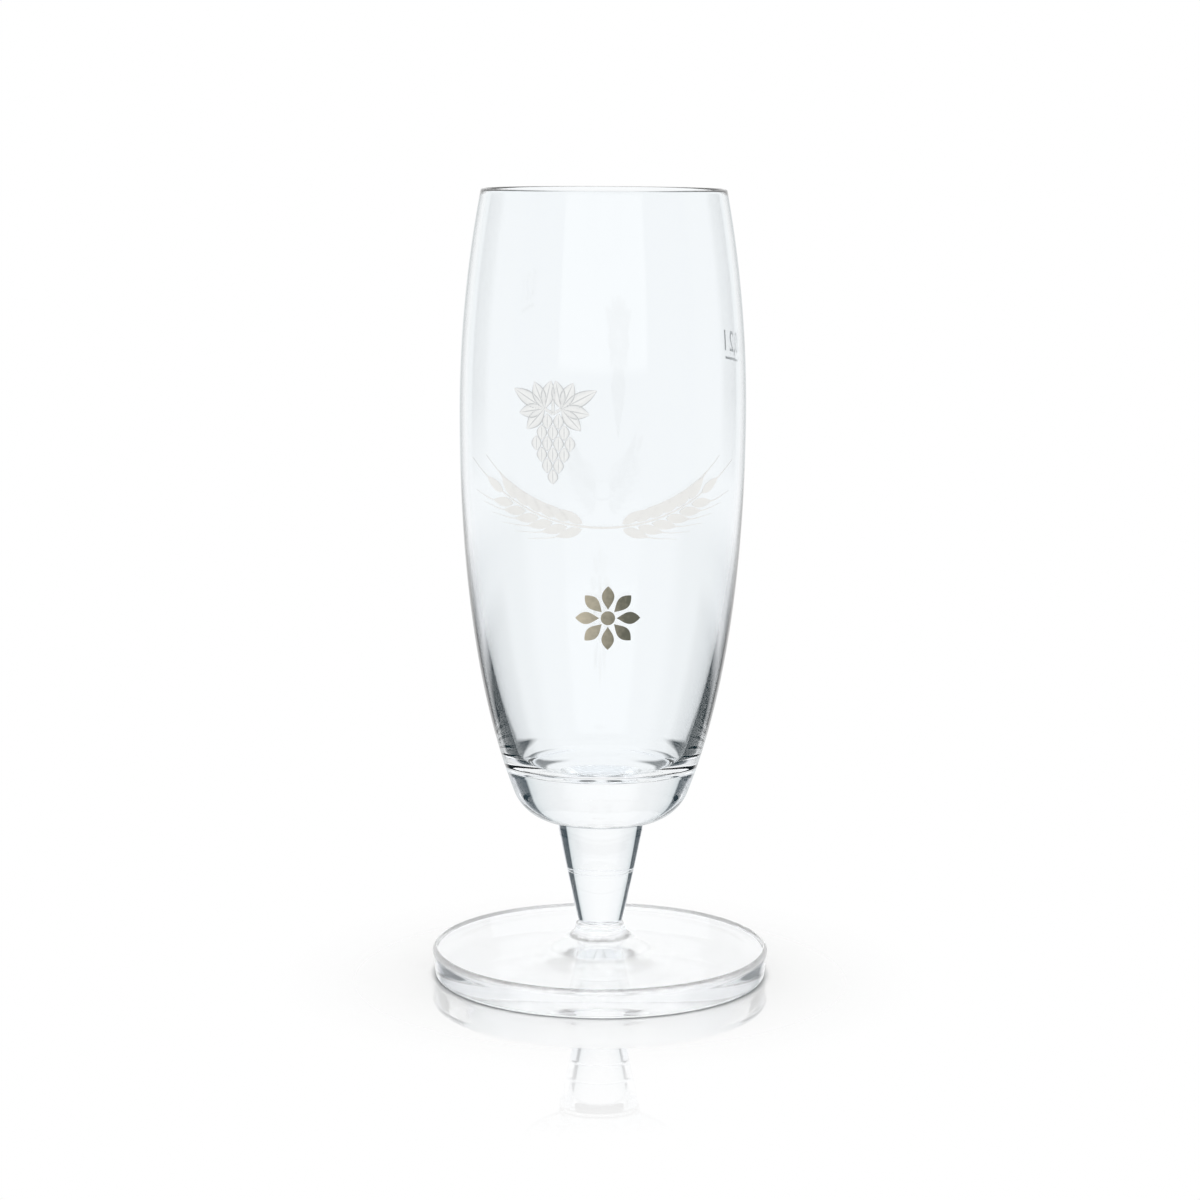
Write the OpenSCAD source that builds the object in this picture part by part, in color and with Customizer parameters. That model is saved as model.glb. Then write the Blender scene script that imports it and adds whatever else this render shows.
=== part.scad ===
// A footed pilsner glass for 0.2 litre: a blown bowl with a thick base, a short conical stem drawn
// in two lengths, a pressed foot, and the enamel prints that are fired on the bowl.
// The origin is the middle of the ring that the foot rests on. +Z is up and the prints face -Y.

/* [Bowl] */
// Height of the bowl, from its flat underside to the lip
bowl_h = 137.5; // [128:0.1:150]
// Outer diameter at the widest place
belly_d = 61.8; // [60:0.1:66]
// Height of the widest place above the bowl's underside
belly_h = 89.2; // [84:0.1:96]
// How far the mouth draws in from the widest place, on each side
mouth_draw = 4.5; // [3.5:0.1:6]
// Radius of the rounded heel, between the underside and the side
heel_round = 10.1; // [9:0.1:11]
// Lean of the side where it leaves the heel, in degrees from upright
heel_lean = 21; // [18:0.5:24]
// Length along which the side still follows the heel's lean
side_pull_low = 14.9; // [12:0.1:18]
// Length along which the side is already upright under the widest place
side_pull_high = 43.9; // [38:0.1:48]

/* [Bowl wall] */
// Wall at the lip, which is rounded over its whole thickness
lip_wall = 1.2; // [0.9:0.05:1.8]
// Wall where the side reaches the inner floor
base_wall = 3.8; // [3:0.1:5]
// Height above the inner floor over which the wall thins to that of the lip
wall_taper_h = 66; // [50:1:80]
// How late the taper sets in, 1 for an even taper
wall_taper_power = 1.6; // [1:0.1:2.5]
// Solid glass under the middle of the inner floor
base_t = 11.3; // [9:0.1:13]
// Height of the rounded corner between the inner floor and the wall
corner_h = 5.5; // [4:0.1:7]
// Rise of the inner floor from its middle to the rounded corner
floor_dish = 0.7; // [0.2:0.1:1.5]

/* [Stem] */
// Length of the upper stem, from the seam to the bowl
stem_upper_h = 11.3; // [8:0.1:16]
// Length of the lower stem, from the foot's boss to the seam
stem_lower_h = 11.6; // [8:0.1:16]
// Diameter under the bowl
stem_top_d = 19.4; // [17:0.1:21]
// Diameter on the foot's boss
stem_foot_d = 9.6; // [9:0.1:9.8]
// How far the stem's side bows out beyond a straight cone, at half its length
stem_bow = 0.2; // [0:0.05:0.5]

/* [Foot] */
// Diameter of the foot
foot_d = 74.1; // [68:0.1:80]
// Height of the foot's edge
edge_h = 6.4; // [5.6:0.1:6.8]
// Rounding between the top of the foot and its edge
edge_round = 1.1; // [0.6:0.1:1.6]
// Rounding under the edge
sole_round = 0.8; // [0.4:0.1:1.2]
// How far the edge draws in from its widest place down to the sole
edge_draft = 0.6; // [0:0.1:1]
// Rise of the top from the edge to the fillet around the boss
top_rise = 2.2; // [1.4:0.1:2.6]
// Diameter of the boss that carries the stem
boss_d = 10.8; // [10.6:0.1:12]
// Height of the boss above the table
boss_h = 12; // [11.6:0.1:14]
// Rounding of the boss's upper edge
boss_round = 0.45; // [0.2:0.05:0.5]
// Radius of the fillet between the boss and the top of the foot
boss_fillet = 2.4; // [1.6:0.1:2.8]
// Width of the flat ring that the glass rests on
rest_w = 2.2; // [1.5:0.1:3]
// Depth of the hollow under the foot
sole_hollow = 1.3; // [0.6:0.1:2]

/* [Prints] */
// Thickness of the fired enamel
print_t = 0.12; // [0.1:0.01:0.2]
// Height of the sprig's middle above the table
sprig_z = 124.6; // [120:0.1:130]
// Place of the sprig around the bowl, in degrees from the front
sprig_turn = -19.5; // [-25:0.5:-15]
// Height of the garland's lowest place above the table
garland_z = 103.4; // [100:0.1:106]
// Height of the rosette's middle above the table
rosette_z = 84.2; // [80:0.1:88]
// Place of the rosette around the bowl, in degrees from the front
rosette_turn = 2.5; // [-5:0.5:5]
// Height of the fill line above the table
fill_z = 135.7; // [130:0.1:140]
// Place of the fill line around the bowl, in degrees from the front
fill_turn = 104; // [90:1:120]
// Length of the fill line
fill_w = 10; // [8:0.5:14]
// Thickness of the fill line
fill_line_h = 0.5; // [0.3:0.1:0.8]

/* [Hop sprig] */
// Length of one bract of the hop cone
bract_l = 3.2; // [2.9:0.1:3.3]
// Width of one bract of the hop cone
bract_w = 2.3; // [1.8:0.1:2.4]
// Distance from one bract of a row to the next
bract_pitch = 2.45; // [2.4:0.05:3]
// Distance from one row of bracts to the next
row_pitch = 2.3; // [2.2:0.1:2.6]
// Length of a hop leaf
hop_leaf_l = 8.4; // [7:0.1:10]
// Width of one lobe of a hop leaf
hop_lobe_w = 3; // [2.4:0.1:3.6]
// Length of the stalk above the cone
stalk_l = 6; // [4:0.1:7]
// Width of the stalk
stalk_w = 0.7; // [0.5:0.1:1]

/* [Barley garland] */
// Length of one barley grain
grain_l = 5.8; // [4.5:0.1:6.5]
// Width of one barley grain
grain_w = 2; // [1.5:0.1:2.4]
// Distance between two grains along the ear
grain_pitch = 3.1; // [2.8:0.1:4]
// Distance from the front to the first grain of each ear, along the bowl
ear_start = 4.2; // [3.5:0.1:8]
// Number of grain pairs in one ear
ear_pairs = 6; // [4:1:6]
// Rise of each ear from its first grain to its tip
ear_rise = 6.5; // [4:0.1:9]

/* [Rosette] */
// Length of one petal
petal_l = 5; // [4:0.1:6]
// Width of one petal
petal_w = 2.6; // [2:0.1:3]
// Diameter of the eye in the middle
eye_d = 3; // [2:0.1:3.4]
// Number of petals
petals = 8; // [6:1:8]

/* [Hidden] */

$fn = 96;

// Steps along each curved stretch of an outline
arc_steps = 8;
side_steps = 26;
stem_steps = 6;
petal_steps = 10;

belly_r = belly_d / 2;
mouth_r = belly_r - mouth_draw;
foot_r = foot_d / 2;
boss_r = boss_d / 2;
stem_h = stem_lower_h + stem_upper_h;
bowl_z = boss_h + stem_h;
lip_round = lip_wall / 2;
stem_join_r = stem_top_d / 2;

// Shares of a leaf's length: where its lobes spread, and how long the side lobes are
lobe_root_share = 0.25;
side_lobe_share = 0.72;
// Angles of the five lobes of a hop leaf, in degrees
lobe_turns = [-75, -38, 0, 38, 75];
// Number of bracts in each row of the hop cone, from the stalk down
row_counts = [2, 3, 4, 3, 2, 1];
// Turn of the two hop leaves from upright, and of a grain from its ear, in degrees
leaf_turn = 62;
grain_turn = 24;
// Share of a grain's width by which its root stands off the ear's line
grain_root_share = 0.3;
// Share of its length at which a circle's quarter bends when a Bezier curve draws it
round_share = 0.55;
// Share of a petal's width by which the petals stand off the rosette's eye
petal_gap_share = 0.125;

// Height of the cone's top above the sprig's middle, and how far the sprig reaches from its middle
cone_top = row_pitch;
sprig_reach = row_pitch * len(row_counts) + bract_l;
// Length of an ear of barley, and how far a grain reaches beyond its root
ear_l = ear_start + grain_pitch * ear_pairs;
garland_reach = grain_l + grain_w;
rosette_reach = eye_d + petal_l;
fill_reach = fill_w / 2;

// Points of a cubic Bezier curve
function bezier(a, b, c, d, steps) =
    [for (i = [0:steps]) let (t = i / steps, s = 1 - t)
        s * s * s * a + 3 * s * s * t * b + 3 * s * t * t * c + t * t * t * d];

// Points of an arc
function arc(centre, r, from, to, steps) =
    [for (i = [0:steps]) let (a = from + (to - from) * i / steps) centre + r * [cos(a), sin(a)]];

// Radius of the circle that bulges by rise over a half chord
function chord_radius(half_chord, rise) = (half_chord * half_chord + rise * rise) / (2 * rise);

// The bowl's outline, as [radius, height above its underside]
heel_centre = [stem_join_r, heel_round];
heel = arc(heel_centre, heel_round, -90, -heel_lean, arc_steps);
heel_top = heel[arc_steps];
side = bezier(
    heel_top,
    heel_top + side_pull_low * [sin(heel_lean), cos(heel_lean)],
    [belly_r, belly_h - side_pull_high],
    [belly_r, belly_h],
    side_steps);
shoulder_h = bowl_h - lip_round - belly_h;
shoulder_radius = chord_radius(shoulder_h, mouth_draw);
shoulder = [for (i = [1:side_steps]) let (h = shoulder_h * i / side_steps)
    [belly_r - shoulder_radius + sqrt(shoulder_radius * shoulder_radius - h * h), belly_h + h]];
outer = concat(heel, [for (i = [1:side_steps]) side[i]], shoulder);
outer_table = [for (p = outer) [p[1], p[0]]];

// Wall and inner radius at a height above the bowl's underside
floor_z = base_t + floor_dish;
function wall_at(h) =
    lip_wall + (base_wall - lip_wall) * pow(max(0, 1 - (h - floor_z) / wall_taper_h), wall_taper_power);
function inner_r(h) = lookup(h, outer_table) - wall_at(h);

corner_top = [inner_r(floor_z + corner_h), floor_z + corner_h];
corner_lean = inner_r(floor_z + 2 * corner_h) - corner_top[0];
floor_r = corner_top[0] - corner_h;
inner = concat(
    [for (i = [len(outer) - 1:-1:0]) if (outer[i][1] > corner_top[1]) [inner_r(outer[i][1]), outer[i][1]]],
    bezier(
        corner_top,
        corner_top - round_share * [corner_lean, corner_h],
        [floor_r + round_share * corner_h, floor_z],
        [floor_r, floor_z],
        arc_steps),
    [for (i = [arc_steps - 1:-1:0]) let (r = floor_r * i / arc_steps)
        [r, base_t + floor_dish * pow(r / floor_r, 2)]]);

module bowl() {
    lip = arc([mouth_r - lip_round, bowl_h - lip_round], lip_round, 0, 180, arc_steps);
    color("aliceblue")
        translate([0, 0, bowl_z])
            rotate_extrude()
                polygon(concat([[0, 0]], outer, [for (i = [1:arc_steps - 1]) lip[i]], inner));
}

// Radius of the stem at a height above the boss
function stem_r(h) =
    let (t = h / stem_h)
    stem_foot_d / 2 + (stem_top_d - stem_foot_d) / 2 * t + 4 * stem_bow * t * (1 - t);

// A length of the stem between two heights above the boss
module stem_length(low, high) {
    side_points = [for (i = [0:stem_steps]) let (h = low + (high - low) * i / stem_steps) [stem_r(h), h]];
    translate([0, 0, boss_h])
        rotate_extrude()
            polygon(concat([[0, low]], side_points, [[0, high]]));
}

module stem_upper() {
    color("lightcyan") stem_length(stem_lower_h, stem_h);
}

module stem_lower() {
    color("azure") stem_length(0, stem_lower_h);
}

module foot() {
    sole_r = foot_r - edge_draft - sole_round;
    hollow_r = sole_r - rest_w;
    hollow_radius = chord_radius(hollow_r, sole_hollow);
    hollow = [for (i = [0:arc_steps]) let (r = hollow_r * i / arc_steps)
        [r, sole_hollow - hollow_radius + sqrt(hollow_radius * hollow_radius - r * r)]];
    fillet_z = edge_h + top_rise + boss_fillet;
    color("lightblue")
        rotate_extrude()
            polygon(concat(
                hollow,
                arc([sole_r, sole_round], sole_round, -90, 0, arc_steps),
                arc([foot_r - edge_round, edge_h - edge_round], edge_round, 0, 90, arc_steps),
                arc([boss_r + boss_fillet, fillet_z], boss_fillet, 270, 180, arc_steps),
                arc([boss_r - boss_round, boss_h - boss_round], boss_round, 0, 90, arc_steps),
                [[0, boss_h]]));
}

// The layer of enamel over the bowl's outside, between two heights above the table
module enamel_layer(low, high) {
    face = [for (p = outer) if (p[1] + bowl_z > low && p[1] + bowl_z < high) p];
    translate([0, 0, bowl_z])
        rotate_extrude()
            polygon(concat(face, [for (i = [len(face) - 1:-1:0]) face[i] + [print_t, 0]]));
}

// Carries a flat drawing straight out through the wall: turn is the place around the bowl, from the front
module through_wall(turn, z) {
    rotate([0, 0, turn])
        translate([0, 0, z])
            rotate([90, 0, 0])
                linear_extrude(belly_d)
                    children();
}

// A pointed leaf that grows up from the origin
module leaf(l, w) {
    edge = [for (i = [0:petal_steps]) [w / 2 * sin(180 * i / petal_steps), l * i / petal_steps]];
    polygon(concat(edge, [for (i = [petal_steps - 1:-1:1]) [-edge[i][0], edge[i][1]]]));
}

// Rows of pointed bracts, each row set half a bract beside the last
module hop_cone() {
    for (row = [0:len(row_counts) - 1], i = [0:row_counts[row] - 1])
        translate([bract_pitch * (i - (row_counts[row] - 1) / 2), -row_pitch * row])
            rotate(180)
                leaf(bract_l, bract_w);
}

module hop_leaf() {
    for (turn = lobe_turns)
        translate([0, hop_leaf_l * lobe_root_share])
            rotate(turn)
                leaf(hop_leaf_l * (turn == 0 ? 1 : side_lobe_share), hop_lobe_w);
    translate([-stalk_w / 2, 0])
        square([stalk_w, hop_leaf_l]);
}

module print_hop_sprig() {
    color("gainsboro")
        intersection() {
            enamel_layer(sprig_z - sprig_reach, sprig_z + sprig_reach);
            through_wall(sprig_turn, sprig_z)
                translate([0, cone_top]) {
                    hop_cone();
                    translate([-stalk_w / 2, 0])
                        square([stalk_w, stalk_l]);
                    for (side_turn = [-leaf_turn, leaf_turn])
                        rotate(side_turn)
                            hop_leaf();
                }
        }
}

// One grain at a distance along an ear: way is -1 for the left ear and 1 for the right one, and row is -1
// below the ear's line, 1 above it and 0 for the grain at the tip
module grain(way, along, row) {
    rise = ear_rise * pow(along / ear_l, 2);
    slope = atan(2 * ear_rise * along / pow(ear_l, 2));
    through_wall(way * along / belly_r * 180 / PI, garland_z + rise)
        rotate(way * (slope - 90))
            translate([-way * row * grain_w * grain_root_share, 0])
                rotate(way * row * grain_turn)
                    leaf(grain_l, grain_w);
}

// Two ears of barley whose stalks meet at the front, each grain laid on the wall at its own place
module print_barley_garland() {
    color("gainsboro")
        intersection() {
            enamel_layer(garland_z - garland_reach, garland_z + ear_rise + garland_reach);
            union() {
                for (way = [-1, 1], pair = [0:ear_pairs - 1], row = [-1, 1])
                    grain(way, ear_start + grain_pitch * pair, row);
                for (way = [-1, 1])
                    grain(way, ear_l, 0);
                through_wall(0, garland_z)
                    square([2 * (ear_start - stalk_w), stalk_w], center = true);
            }
        }
}

module print_rosette() {
    color("goldenrod")
        intersection() {
            enamel_layer(rosette_z - rosette_reach, rosette_z + rosette_reach);
            through_wall(rosette_turn, rosette_z) {
                circle(d = eye_d);
                for (i = [0:petals - 1])
                    rotate(360 * i / petals)
                        translate([0, eye_d / 2 + petal_w * petal_gap_share])
                            leaf(petal_l, petal_w);
            }
        }
}

module fill_line() {
    color("gray")
        intersection() {
            enamel_layer(fill_z - fill_reach, fill_z + fill_reach);
            through_wall(fill_turn, fill_z)
                square([fill_w, fill_line_h], center = true);
        }
}

bowl();
stem_upper();
stem_lower();
foot();
print_hop_sprig();
print_barley_garland();
print_rosette();
fill_line();
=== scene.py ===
import math

import bmesh
import bpy
import numpy
from mathutils import Matrix, Vector
from mathutils.geometry import interpolate_bezier


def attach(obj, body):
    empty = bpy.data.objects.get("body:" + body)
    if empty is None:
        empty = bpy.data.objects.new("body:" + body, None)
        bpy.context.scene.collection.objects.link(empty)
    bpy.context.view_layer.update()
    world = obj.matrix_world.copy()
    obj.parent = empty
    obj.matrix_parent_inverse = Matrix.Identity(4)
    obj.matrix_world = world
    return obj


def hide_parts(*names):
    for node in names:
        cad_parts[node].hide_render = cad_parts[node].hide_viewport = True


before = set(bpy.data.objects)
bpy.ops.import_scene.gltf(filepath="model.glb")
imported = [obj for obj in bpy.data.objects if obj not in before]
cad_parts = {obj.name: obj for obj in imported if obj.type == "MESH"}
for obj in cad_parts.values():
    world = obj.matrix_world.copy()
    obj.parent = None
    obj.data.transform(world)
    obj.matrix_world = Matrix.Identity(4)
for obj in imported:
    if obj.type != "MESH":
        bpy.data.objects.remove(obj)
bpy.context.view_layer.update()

bl_info = {
    "name": "Footed Pilsner Glass",
    "version": (1, 0, 0),
    "blender": (4, 5, 0),
    "location": "3D View > Sidebar > Glass",
    "description": "Builds a footed pilsner glass with its enamel prints on a pale studio floor",
    "category": "Add Mesh",
}

MM = 0.001
# Segments of the spun glass, fine enough that no facet shows through its thick base
GLASS_SEGMENTS = 256
# Steps along each stretch of a spun outline
HEEL_STEPS, SIDE_STEPS, SHOULDER_STEPS, LIP_STEPS = 20, 64, 32, 14
STEM_STEPS, FLOOR_STEPS, FLANK_STEPS, ROUND_STEPS = 24, 24, 6, 10
# Closer than this, points of the glass are one and heights are level
TOUCH = 0.001 * MM
# An edge between two faces that turn by more than this stays crisp
CRISP_ANGLE = math.radians(35)
# Share of its radius at which a Bezier curve's quarter circle bends
ROUND_SHARE = 0.55
# Share of the seam's rounding at its middle point
SEAM_SHARE = 0.3
# Most times that light is followed inside the glass
INNER_BOUNCES = 24
# Material slot of the bowl's inner face, after the outer face and the fused contact
INNER_SLOT = 2
# Gap between an enamel skin and the wall, so that neither flickers through the other
SKIN_GAP = 0.02 * MM
# Points of a print closer than this are one
PRINT_WELD = 0.004 * MM
WHITE, BLACK = (1.0, 1.0, 1.0, 1.0), (0.0, 0.0, 0.0, 1.0)


def linear(hex_colour):
    """Linear RGBA of an sRGB hex colour"""
    channels = [int(hex_colour[i:i + 2], 16) / 255 for i in (1, 3, 5)]
    return [c / 12.92 if c <= 0.04045 else ((c + 0.055) / 1.055) ** 2.4 for c in channels] + [1.0]


def length(name, description, millimetres):
    """A length that a user may change, with its default in millimetres"""
    return bpy.props.FloatProperty(
        name=name, description=description, default=millimetres * MM, min=0.0, precision=5,
        subtype="DISTANCE", unit="LENGTH")


def angle(name, description, degrees):
    """An angle that a user may change, with its default in degrees"""
    return bpy.props.FloatProperty(
        name=name, description=description, default=math.radians(degrees), subtype="ANGLE",
        unit="ROTATION")


def share(name, description, default):
    """A plain number that a user may change"""
    return bpy.props.FloatProperty(name=name, description=description, default=default, min=0.0)


def colour(name, description, hex_colour):
    """A colour that a user may change, with its default as an sRGB hex value"""
    return bpy.props.FloatVectorProperty(
        name=name, description=description, default=linear(hex_colour), size=4, min=0.0, max=1.0,
        subtype="COLOR")


class GlassSizes(bpy.types.PropertyGroup):
    """Sizes of the spun glass"""
    bowl_h: length("Bowl height", "From the bowl's flat underside to the lip", 137.5)
    belly_d: length("Belly diameter", "Outside, at the widest place", 61.8)
    belly_h: length("Belly height", "Of the widest place, above the bowl's underside", 89.2)
    mouth_draw: length("Mouth draw", "How far the mouth draws in from the belly, on each side", 4.5)
    heel_round: length("Heel rounding", "Between the bowl's underside and its side", 10.1)
    heel_lean: angle("Heel lean", "Lean of the side where it leaves the heel, from upright", 21)
    side_pull_low: length("Lower pull", "Along which the side keeps the heel's lean", 14.9)
    side_pull_high: length("Upper pull", "Along which the side is upright under the belly", 43.9)
    lip_wall: length("Lip thickness", "The lip is rounded over its whole thickness", 1.2)
    base_wall: length("Base wall", "Wall where the side reaches the inner floor", 3.8)
    wall_taper_h: length("Wall taper", "Height over which the wall thins to that of the lip", 66)
    wall_taper_power: share("Taper power", "How late the taper sets in, 1 for an even one", 1.6)
    base_t: length("Base thickness", "Solid glass under the middle of the inner floor", 11.3)
    corner_h: length("Inner corner", "Height of the rounded corner over the inner floor", 5.5)
    floor_dish: length("Floor dish", "Rise of the inner floor from its middle to the corner", 0.7)
    stem_upper_h: length("Upper stem", "Length from the seam to the bowl", 11.3)
    stem_lower_h: length("Lower stem", "Length from the foot's boss to the seam", 11.6)
    stem_top_d: length("Stem under the bowl", "Diameter", 19.4)
    stem_foot_d: length("Stem on the foot", "Diameter", 9.6)
    stem_bow: length("Stem bow", "Beyond a straight cone, at half the stem's length", 0.2)
    seam_round: length("Seam rounding", "Of both stems' edges, where they are fused", 0.16)
    foot_d: length("Foot diameter", "At its widest place", 74.1)
    edge_h: length("Foot edge", "Height of the foot's edge", 6.4)
    edge_round: length("Upper edge rounding", "Between the foot's top and its edge", 1.1)
    sole_round: length("Lower edge rounding", "Between the foot's edge and its sole", 0.8)
    edge_draft: length("Edge draft", "How far the edge draws in down to the sole", 0.6)
    top_rise: length("Foot rise", "Of the foot's top from its edge to the boss", 2.2)
    boss_d: length("Boss diameter", "Of the boss that carries the stem", 10.8)
    boss_h: length("Boss height", "Of the boss, above the table", 12)
    boss_round: length("Boss rounding", "Of the boss's upper edge", 0.45)
    boss_fillet: length("Boss fillet", "Between the boss and the foot's top", 2.4)
    rest_w: length("Resting ring", "Width of the flat ring that the glass rests on", 2.2)
    sole_hollow: length("Sole hollow", "Depth of the hollow under the foot", 1.3)


class PrintSizes(bpy.types.PropertyGroup):
    """Sizes and places of the enamel prints"""
    skin_t: length("Enamel thickness", "Of the fired enamel", 0.08)
    sprig_z: length("Sprig height", "Of the sprig's middle, above the table", 124.6)
    sprig_turn: angle("Sprig turn", "Place around the bowl, from the front", -19.5)
    bract_l: length("Bract length", "Of one bract of the hop cone", 3.2)
    bract_w: length("Bract width", "Of one bract of the hop cone", 2.3)
    bract_pitch: length("Bract pitch", "From one bract of a row to the next", 2.45)
    row_pitch: length("Row pitch", "From one row of bracts to the next", 2.3)
    leaf_l: length("Hop leaf length", "Of the middle lobe", 8.4)
    lobe_w: length("Lobe width", "Of one lobe of a hop leaf", 3)
    stalk_l: length("Stalk length", "Above the cone", 6)
    stalk_w: length("Stalk width", "Of the sprig's stalk", 0.7)
    garland_z: length("Garland height", "Of the garland's lowest place, above the table", 103.4)
    grain_l: length("Grain length", "Of one barley grain", 5.8)
    grain_w: length("Grain width", "Of one barley grain", 2)
    grain_pitch: length("Grain pitch", "From one grain to the next along the ear", 3.1)
    ear_start: length("Ear start", "From the front to the first grain, along the bowl", 4.2)
    ear_rise: length("Ear rise", "From the ear's first grain to its tip", 6.5)
    awn_w: length("Awn width", "Of the bristle on each grain", 0.22)
    rosette_z: length("Rosette height", "Of the rosette's middle, above the table", 84.2)
    rosette_turn: angle("Rosette turn", "Place around the bowl, from the front", 2.5)
    petal_l: length("Petal length", "Of one petal", 5)
    petal_w: length("Petal width", "Of one petal", 2.6)
    eye_d: length("Eye diameter", "Of the rosette's middle", 3)
    fill_z: length("Fill height", "Of the fill line, above the table", 135.7)
    fill_turn: angle("Fill turn", "Place around the bowl, from the front", 104)
    fill_w: length("Fill line length", "Along the bowl", 10)
    fill_line_h: length("Fill line thickness", "Its height on the wall", 0.5)
    numeral_h: length("Numeral height", "Of the numerals over the fill line", 4.6)


class GlassColours(bpy.types.PropertyGroup):
    """Colours of the glass, its prints and the floor"""
    clear: colour("Clear glass", "Glass seen face on", "#FAFCFD")
    # Painted shade: the dark tone painted into the bowl's outer face where it is seen along its
    # surface
    edge_shade_tone: colour("Glass at an edge", "Glass seen along its surface", "#56666D")
    enamel: colour("Off-white enamel", "Face of the pale prints", "#F6F7F6")
    enamel_line: colour("Enamel edge", "Edges and veins of the pale prints", "#C3C6C7")
    lustre_pale: colour("Pale lustre", "Gold where the lustre is thick", "#CFC6AE")
    lustre_dark: colour("Dark lustre", "Gold where the lustre is thin", "#6A6A5C")
    fill_grey: colour("Grey enamel", "Fill line and numerals", "#9BA1A3")
    floor: colour("Floor", "The plain pale floor", "#FAFAFA")
    # Painted shadow: the dark ring painted into the floor round the foot's edge
    painted_contact_shadow: colour("Floor at the foot", "Where the foot's edge meets the floor", "#4E565A")
    gap: colour("Tent gaps", "Dark gaps on both sides of the tent", "#36444C")
    skirt: colour("Tent skirt", "Low down beside the tent, as the glass mirrors it", "#414E54")
    strip: colour("Dark strips", "Strips low beside the tent and behind it", "#0B2228")
    tent: colour("Tent front", "Front of the light tent, as the glass mirrors it", "#F3F4FA")


def sizes():
    return bpy.context.scene.glass_sizes


def prints():
    return bpy.context.scene.glass_prints


def colours():
    return bpy.context.scene.glass_colours


# Materials

def add_node(tree, kind, inputs=None, stops=(), **settings):
    """Add a node with its settings, set or link its inputs by name or number, and give a colour
    ramp its stops, each a place and a linear colour. An input is a value, a socket, or a node,
    which stands for its first live output"""
    node = tree.nodes.new(kind)
    for name, value in settings.items():
        setattr(node, name, value)
    live = [socket for socket in node.inputs if socket.enabled]
    for key, value in (inputs or {}).items():
        socket = live[key] if isinstance(key, int) else next(s for s in live if s.name == key)
        if isinstance(value, bpy.types.Node):
            value = next(output for output in value.outputs if output.enabled)
        if isinstance(value, bpy.types.NodeSocket):
            tree.links.new(value, socket)
        else:
            socket.default_value = value
    if stops:
        elements = node.color_ramp.elements
        while len(elements) < len(stops):
            elements.new(1.0)
        for element, (place, value) in zip(elements, stops):
            element.position = place
            element.color = value
    return node


def new_material(name):
    """An empty material and its node tree"""
    material = bpy.data.materials.new(name)
    material.use_nodes = True
    material.node_tree.nodes.clear()
    return material, material.node_tree


# How far a face of the glass is turned away where the painted shade at its edges starts and where
# it is full
EDGE_SHADE_FACING = (0.72, 0.86)
# Blown and drawn glass waves less along its axis than around it
WAVE_STRETCH = (1, 1, 0.35)


def soda_lime_glass(name, wave_mm, wave_depth_mm, edge_shade_colour, haze=0.0, unbent_share=0.0):
    """Clear soda-lime glass with waves as long as wave_mm that the blowing or pressing left in
    it, and edge_shade_colour painted into it as shade where the eye looks along its surface.
    Fire polished glass has no haze, and the mould's skin gives it a little. unbent_share is
    the light that goes straight on, which makes a disc look as thin and light as it is"""
    material, tree = new_material(name)
    place = add_node(tree, "ShaderNodeTexCoord")
    stretch = add_node(
        tree, "ShaderNodeMapping", {"Vector": place.outputs["Object"], "Scale": WAVE_STRETCH})
    waves = add_node(
        tree, "ShaderNodeTexNoise", {"Vector": stretch, "Scale": 1 / (wave_mm * MM), "Detail": 1.0})
    bump = add_node(
        tree, "ShaderNodeBump", {"Height": waves, "Distance": wave_depth_mm * MM, "Strength": 1.0})
    edge = add_node(tree, "ShaderNodeLayerWeight", {"Blend": 0.5, "Normal": bump})
    # Painted shade: the glass's colour turns from clear to edge_shade_colour where its face turns
    # away from the eye
    painted_edge_shade = add_node(
        tree, "ShaderNodeValToRGB", {"Fac": edge.outputs["Facing"]},
        stops=[(EDGE_SHADE_FACING[0], colours().clear), (EDGE_SHADE_FACING[1], edge_shade_colour)])
    glass = add_node(
        tree, "ShaderNodeBsdfPrincipled",
        {"Base Color": painted_edge_shade, "Roughness": haze, "IOR": 1.52, "Transmission Weight": 1.0,
         "Normal": bump})
    unbent = add_node(tree, "ShaderNodeBsdfTransparent")
    seen = add_node(tree, "ShaderNodeMixShader", {0: unbent_share, 1: glass, 2: unbent})
    add_node(tree, "ShaderNodeOutputMaterial", {"Surface": seen})
    return material


def fused_contact():
    """Where two pieces of glass are fused there is no surface left, so light passes straight on"""
    material, tree = new_material("fused_contact")
    clear = add_node(tree, "ShaderNodeBsdfTransparent")
    add_node(tree, "ShaderNodeOutputMaterial", {"Surface": clear})
    return material


def fired_enamel(name, face, line):
    """Screen printed glass enamel, fired: a chalky satin skin with greyer edges where the print
    runs thin, and a fine grain from the mesh of the screen"""
    material, tree = new_material(name)
    place = add_node(tree, "ShaderNodeTexCoord")
    # The screen's mesh is finer than shows, so its grain is drawn 0.4 mm coarse
    grain = add_node(
        tree, "ShaderNodeTexNoise",
        {"Vector": place.outputs["Object"], "Scale": 1 / (0.4 * MM), "Detail": 2.0})
    drawn = add_node(tree, "ShaderNodeAttribute", attribute_name="line")
    worn = add_node(
        tree, "ShaderNodeMath", {0: grain, 1: 0.25, 2: drawn.outputs["Fac"]},
        operation="MULTIPLY_ADD")
    tone = add_node(tree, "ShaderNodeValToRGB", {"Fac": worn}, stops=[(0.1, face), (0.9, line)])
    bump = add_node(tree, "ShaderNodeBump", {"Height": grain, "Distance": 0.01 * MM})
    enamel = add_node(
        tree, "ShaderNodeBsdfPrincipled",
        {"Base Color": tone, "Roughness": 0.45, "IOR": 1.5, "Normal": bump})
    add_node(tree, "ShaderNodeOutputMaterial", {"Surface": enamel})
    return material


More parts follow.
